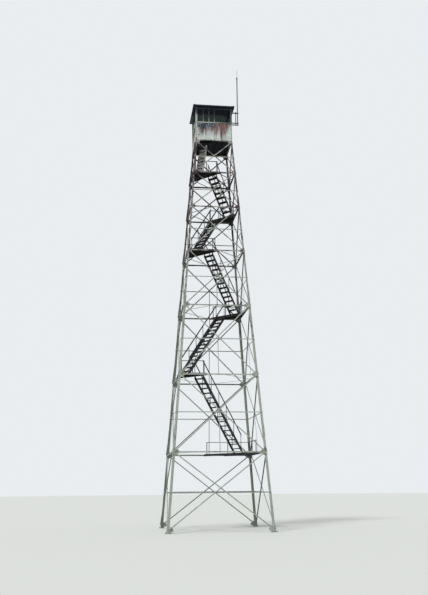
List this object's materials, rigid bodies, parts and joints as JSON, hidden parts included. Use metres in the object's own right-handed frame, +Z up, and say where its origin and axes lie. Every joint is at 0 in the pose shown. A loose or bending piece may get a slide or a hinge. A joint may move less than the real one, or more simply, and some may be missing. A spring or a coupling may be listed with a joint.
{
  "type": "fire lookout tower",
  "caption": "Tapered steel lattice tower with zig-zag stairs between corner landings and a small square lookout cab under a low hip roof, with an antenna mast on one side.",
  "frame": {"origin": "on the ground at the middle of the base", "axes": "+Z up the tower, -Y out of the front face, +X to the right of the front face"},
  "size_m": [5.686, 5.686, 26.9],
  "materials": {
    "steel": "weathered galvanised steel",
    "stair_steel": "dark weathered steel",
    "timber": "weathered boards",
    "cab_sheet": "faded paint with rust",
    "roof_sheet": "weathered sheet",
    "antenna_metal": "dull tube"
  },
  "bodies": {
    "root": {"antenna_arms": "antenna_metal", "antenna_mast": "antenna_metal", "base_shoes": "steel", "cab_floor": "timber", "cab_ladder": "stair_steel", "cab_ring": "steel", "corner_posts": "steel", "eave_beams": "timber", "floor_joists": "timber", "front_diagonals": "steel", "front_gussets": "steel", "front_left_leg": "steel", "front_right_leg": "steel", "front_struts": "steel", "front_wall": "cab_sheet", "landing_1": "timber", "landing_2": "timber", "landing_3": "timber", "landing_4": "timber", "landing_5": "timber", "landing_6": "timber", "left_diagonals": "steel", "left_gussets": "steel", "left_struts": "steel", "left_wall": "cab_sheet", "plan_bracing": "steel", "rear_diagonals": "steel", "rear_gussets": "steel", "rear_left_leg": "steel", "rear_right_leg": "steel", "rear_struts": "steel", "rear_wall": "cab_sheet", "right_diagonals": "steel", "right_gussets": "steel", "right_struts": "steel", "right_wall": "cab_sheet", "roof": "roof_sheet", "sill_rails": "timber", "soffit": "timber", "stair_flight_1": "stair_steel", "stair_flight_2": "stair_steel", "stair_flight_3": "stair_steel", "stair_flight_4": "stair_steel", "stair_flight_5": "stair_steel", "window_mullions": "timber"}
  },
  "joints": []
}
